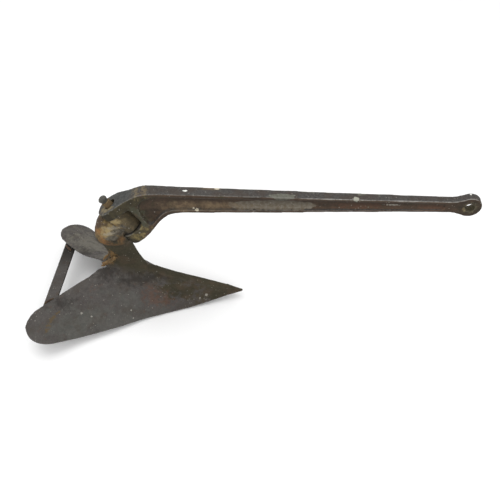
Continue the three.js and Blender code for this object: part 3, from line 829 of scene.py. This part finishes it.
def plate_marks(paint, colour):
    """Streaks, stains and paint dots that sit in one place each."""
    dark = [(behind_eye(829, -87, -236), boxy(20, 14, 9))]
    dark += [(behind_eye(650, -24, -222), boxy(70, 16, 12))]
    dark += [(behind_eye(815, 60, -226), boxy(34, 18, 12))] + both_sides(740, 16, -196, 24 * MM)
    colour = paint.spread(paint.spots(dark, 0.9, 12 * MM, 71.0, 0.8), colour, BLACK, 0.55)
    red = [(behind_eye(645, -37, -266), boxy(16, 10, 22))]
    red += [(behind_eye(617, -37, -279), boxy(12, 9, 11))]
    colour = paint.spread(paint.spots(red, 1.2, 9 * MM, 72.0, 0.9), colour, RUST_RED, 0.5)
    tint = [(behind_eye(800, -120, -270), boxy(60, 40, 22)), (behind_eye(700, -90, -285), 45 * MM)]
    cool = paint.mottle((0.078, 0.080, 0.072), (0.108, 0.104, 0.094), 9 * MM, 84.0)
    colour = paint.spread(paint.spots(tint, 1.2, 24 * MM, 85.0, 1.0), colour, cool, 0.75)
    elbow = behind_eye(849, -124, -245)
    streak = trail(behind_eye(835, -104, -241), elbow, 2.6 * MM, 9)
    streak += trail(elbow, behind_eye(853, -150, -251), 3.0 * MM, 9)
    colour = paint.spread(paint.spots(streak, 1.3, 5 * MM, 73.0, 0.5), colour, UMBER, 0.9)
    pale = [(behind_eye(800, 110, -242), boxy(60, 45, 20)), (behind_eye(745, 45, -215), 24 * MM)]
    mottled = paint.times(paint.spots(pale, 0.9, 16 * MM, 75.0, 0.8), paint.noise(4 * MM, 5, 0.7))
    colour = paint.spread(mottled, colour, LICHEN, 0.95)
    dots = [(behind_eye(525, -17, -280), 3.0 * MM), (behind_eye(540, -23, -285), 1.8 * MM)]
    dots += [(behind_eye(690, -69, -277), 1.8 * MM), (behind_eye(684, -83, -287), 1.6 * MM)]
    dots += [(behind_eye(770, -98, -264), 1.8 * MM), (behind_eye(790, -98, -253), 2.4 * MM)]
    dots += [(behind_eye(842, 120, -242), 2.4 * MM), (behind_eye(800, 86, -236), 2.0 * MM)]
    return paint.spread(paint.spots(dots, 0.4, 2 * MM, 74.0, 0.3), colour, SALT, 0.65)


def plate_material():
    paint = Finish("plate_steel")
    colour = plough_coat(paint, steel_of_neck(paint))
    colour = wear(paint, colour, STEEL_PALE, 0.35, 0.35)
    colour = speckle(paint, colour, 0.5, 0.4)
    colour = plate_marks(paint, colour)
    grain(paint)
    return paint.finish(colour, 0.8, 0.1)


def brace_material():
    paint = Finish("brace_steel")
    colour = oxide(paint, PLUM, PLUM_PALE, 24 * MM, seed=40.0)
    rust = paint.steps(paint.noise(18 * MM, 5, 0.65, seed=41.0), 0.5, 0.68)
    colour = paint.spread(rust, colour, OXIDE_BROWN, 0.7)
    far_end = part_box("brace")[1].y
    # Painted shade: the brace is darkened towards black along its far half.
    painted_shade_far_end = paint.slope((0, 1, 0), -0.05 * far_end, 0.5 * far_end)
    colour = paint.spread(painted_shade_far_end, colour, BLACK, 0.8)
    colour = wear(paint, colour, STEEL_PALE, 0.4, 0.4)
    colour = speckle(paint, colour, 0.5, 0.6)
    grain(paint)
    return paint.finish(colour, 0.8, 0.1)


def rust_material(name, dark, bright, blotch, metallic=0.1):
    paint = Finish(name)
    colour = oxide(paint, dark, bright, blotch)
    colour = wear(paint, colour, SAND, 0.4, 0.7)
    grain(paint, 0.5 * MM)
    return paint.finish(colour, 0.82, metallic)


# ------------------------------------------------------------------ pieces


BORE_EDGE = 12.5 * MM
BORE_CRUST = 0.8 * MM


def rust_bore(places, normals):
    """A crust that narrows the shackle hole and fades out round its mouth."""
    from_middle = np.hypot(places[:, 0] - EYE.x, places[:, 2] - EYE.z)
    share = np.clip((BORE_EDGE - from_middle) / (2 * MM), 0, 1)
    return places + (BORE_CRUST * share)[:, None] * normals


def build_shank():
    """Soft forging, with wide fillets in the I-section and a crusty shackle hole."""
    shank = copy_nodes(["shank"], "shank_finish")
    round_off(shank, FORGING_VOXEL, 16)
    fill_corners(shank, 60)
    move_points(shank, rust_bore)
    weather(shank, "shank", 0.5 * MM, 0.25 * MM)
    hand_over(shank, "shank", SHANK, shank_material())


CLOSE_UP = 0.25 * MM  # swells horn and plates enough to close the gaps between them
NECK_FOOT = HINGE_MIDDLE.z - 148 * MM


def seam(places):
    """A share that is 1 along the ridge and round the foot of the neck, for the fillets."""
    ridge = (places - np.array(RIDGE_POINT)) @ np.array(RIDGE_UP)
    along = np.clip((16 * MM - np.abs(ridge + 4 * MM)) / (6 * MM), 0, 1)
    above = np.clip((places[:, 2] - NECK_FOOT + 14 * MM) / (8 * MM), 0, 1)
    below = np.clip((NECK_FOOT + 34 * MM - places[:, 2]) / (12 * MM), 0, 1)
    return np.maximum(along, above * below)


def shape_knuckle(skin):
    """Lumps all over the knuckle; on each cheek a bulge, a facet and a groove below them."""
    lumps = cloud("knuckle_lumps", 11 * MM, 1)
    displace(skin, lumps, 2.4 * MM, near(at_hinge(-34, 0, 0), 30 * MM, 16 * MM))
    for way in (-1, 1):
        groove = [at_hinge(-44, 31 * way, -21), at_hinge(-33, 31 * way, -25)]
        groove += [at_hinge(-22, 29 * way, -26), at_hinge(-12, 26 * way, -22)]
        dent(skin, groove, 11 * MM, 2.4 * MM)
        dent(skin, [at_hinge(-38, 29 * way, 0)], 16 * MM, -2.2 * MM)
        flatten(skin, at_hinge(-22, 24.4 * way, -5), (0.25, 0.92 * way, 0.12), 15 * MM)


def plough_skin():
    """Horn and plates melted into one, with fillets where they meet."""
    skin = copy_nodes(["horn", "plate_left", "plate_right"], "plough_skin")
    swell(skin, CLOSE_UP)
    round_off(skin, FORGING_VOXEL, 14)
    fill_corners(skin, 110, seam)
    relax(skin, 90, near(behind_eye(649, 0, -200), 8 * MM, 12 * MM))
    shape_knuckle(skin)
    weather(skin, "plough", 0.8 * MM, 0.28 * MM)
    return skin


CUTTER_MARGIN = 2.5 * MM
CUTTER_VOXEL = 2 * MM


def build_plough():
    """Cuts the melted skin just outside the horn's outline, into horn and two plates."""
    skin = plough_skin()
    cutter = copy_nodes(["horn"], "horn_cutter")
    swell(cutter, CUTTER_MARGIN)
    remesh(cutter, CUTTER_VOXEL)
    horn = new_object("horn_finish", lambda work: work.from_mesh(skin.data))
    carve(horn, cutter, "INTERSECT")
    keep_side(horn, 0)
    hand_over(horn, "horn", PLOUGH, horn_material())
    material = plate_material()
    for node, side in (("plate_left", 1), ("plate_right", -1)):
        plate = new_object(node + "_finish", lambda work: work.from_mesh(skin.data))
        carve(plate, cutter, "DIFFERENCE")
        keep_side(plate, side)
        hand_over(plate, node, PLOUGH, material)
    for helper in (skin, cutter):
        bpy.data.objects.remove(helper)


def build_brace():
    brace = forged("brace", FORGING_VOXEL, 3, 0.6 * MM, 0.2 * MM)
    hand_over(brace, "brace", PLOUGH, brace_material())


def build_pin():
    pin = forged("hinge_pin", PIN_VOXEL, 3, 0.5 * MM, 0.5 * MM)
    rusty = rust_material("pin_steel", (0.080, 0.055, 0.030), (0.185, 0.130, 0.068), 12 * MM)
    hand_over(pin, "hinge_pin", SHANK, rusty)
    cap = forged("pin_cap", CAP_VOXEL, 3, 0.5 * MM, 0.3 * MM)
    grey = rust_material("cap_steel", (0.050, 0.048, 0.040), (0.140, 0.135, 0.120), 9 * MM, 0.4)
    hand_over(cap, "pin_cap", SHANK, grey)


HEEL_TUCK = 7 * MM
HEEL_PINCH = 0.4


def hug_neck(weld):
    """Tucks the lower end of a heel weld in against the foot of the neck."""
    top = behind_eye(0, 0, -172).z
    bottom = behind_eye(0, 0, -199).z

    def change(places, _normals):
        share = np.clip((top - places[:, 2]) / (top - bottom), 0, 1)
        places[:, 0] += HEEL_TUCK * share
        places[:, 1] *= 1 - HEEL_PINCH * share
        return places

    move_points(weld, change)


def build_welds():
    """Lumpy beads, much rougher than the forgings."""
    lumps = cloud("weld_lumps", 8 * MM, 2)
    heel = rust_material("heel_weld_steel", (0.045, 0.032, 0.020), (0.220, 0.130, 0.055), 26 * MM)
    dull = rust_material("brace_weld_steel", (0.036, 0.026, 0.020), (0.085, 0.048, 0.032), 12 * MM)
    for side in ("left", "right"):
        weld = forged("heel_weld_" + side, WELD_VOXEL, 3, 0.5 * MM, 0.8 * MM)
        swell(weld, 1 * MM)
        displace(weld, lumps, 6 * MM)
        hug_neck(weld)
        hand_over(weld, "heel_weld_" + side, PLOUGH, heel)
        weld = forged("brace_weld_" + side, WELD_VOXEL, 3, 0.5 * MM, 0.6 * MM)
        displace(weld, lumps, 1 * MM)
        hand_over(weld, "brace_weld_" + side, PLOUGH, dull)


# ------------------------------------------------------------------ stage, light and camera

FLOOR_HALF = 6.0
FLOOR_WHITE = 0.94
SKY_GLOW = 0.95
LIGHT_SIZE = 2.0
KEY_PLACE = (-0.8, 0.3, 2.6)
KEY_POWER = 20
FILL_PLACE = (0.6, -2.2, 1.6)
FILL_POWER = 10
LIT_POINT = (0, 0, 0.15)


def build_stage():
    """A plain pale floor that the anchor lies on."""
    corners = [(-1, -1), (1, -1), (1, 1), (-1, 1)]
    ground = cad_bounds[0].z

    def fill(work):
        verts = [work.verts.new((FLOOR_HALF * x, FLOOR_HALF * y, ground)) for x, y in corners]
        work.faces.new(verts)

    floor = new_object("floor", fill)
    material = bpy.data.materials.new("pale_floor")
    material.use_nodes = True
    shader = material.node_tree.nodes["Principled BSDF"]
    shader.inputs["Base Color"].default_value = (*(FLOOR_WHITE,) * 3, 1)
    shader.inputs["Roughness"].default_value = 0.9
    floor.data.materials.append(material)


def area_light(name, place, power):
    """A soft round lamp, turned towards the anchor."""
    light = bpy.data.lights.new(name, "AREA")
    light.shape = "DISK"
    light.size = LIGHT_SIZE
    light.energy = power
    obj = bpy.data.objects.new(name, light)
    bpy.context.scene.collection.objects.link(obj)
    obj.location = place
    aim = Vector(LIT_POINT) - Vector(place)
    obj.rotation_euler = aim.to_track_quat("-Z", "Y").to_euler()


def build_lights():
    """An even white sky with a soft key and fill."""
    world = bpy.data.worlds.new("studio")
    bpy.context.scene.world = world
    world.use_nodes = True
    background = world.node_tree.nodes["Background"]
    background.inputs["Color"].default_value = (1, 1, 1, 1)
    background.inputs["Strength"].default_value = SKY_GLOW
    area_light("key", KEY_PLACE, KEY_POWER)
    area_light("fill", FILL_PLACE, FILL_POWER)
    bpy.context.scene.view_settings.view_transform = "Standard"


# Where the camera stands from the shackle eye, how it looks down, and its lens.
CAMERA_FROM_EYE = Vector((-352.2, -821.4, 769.1)) * MM
CAMERA_TILT = math.radians(42.079)
CAMERA_TURN = math.radians(4.795)
CAMERA_ROLL = math.radians(-2.280)
SENSOR = 36.0
LENS = 41.53
HALF_PIXEL = 0.5 / 500  # as a share of the picture's width


def build_camera():
    """In front of the anchor and well above it, looking down."""
    camera = bpy.data.cameras.new("camera")
    camera.sensor_width = SENSOR
    camera.lens = LENS
    camera.shift_x = -HALF_PIXEL
    camera.shift_y = HALF_PIXEL
    camera.clip_start = 0.05
    obj = bpy.data.objects.new("camera", camera)
    bpy.context.scene.collection.objects.link(obj)
    turn = Matrix.Rotation(CAMERA_TURN, 4, "Z")
    tilt = Matrix.Rotation(CAMERA_TILT, 4, "X")
    roll = Matrix.Rotation(CAMERA_ROLL, 4, "Z")
    obj.matrix_world = Matrix.Translation(EYE + CAMERA_FROM_EYE) @ turn @ tilt @ roll
    bpy.context.scene.camera = obj


build_shank()
build_plough()
build_brace()
build_pin()
build_welds()
build_stage()
build_lights()
build_camera()
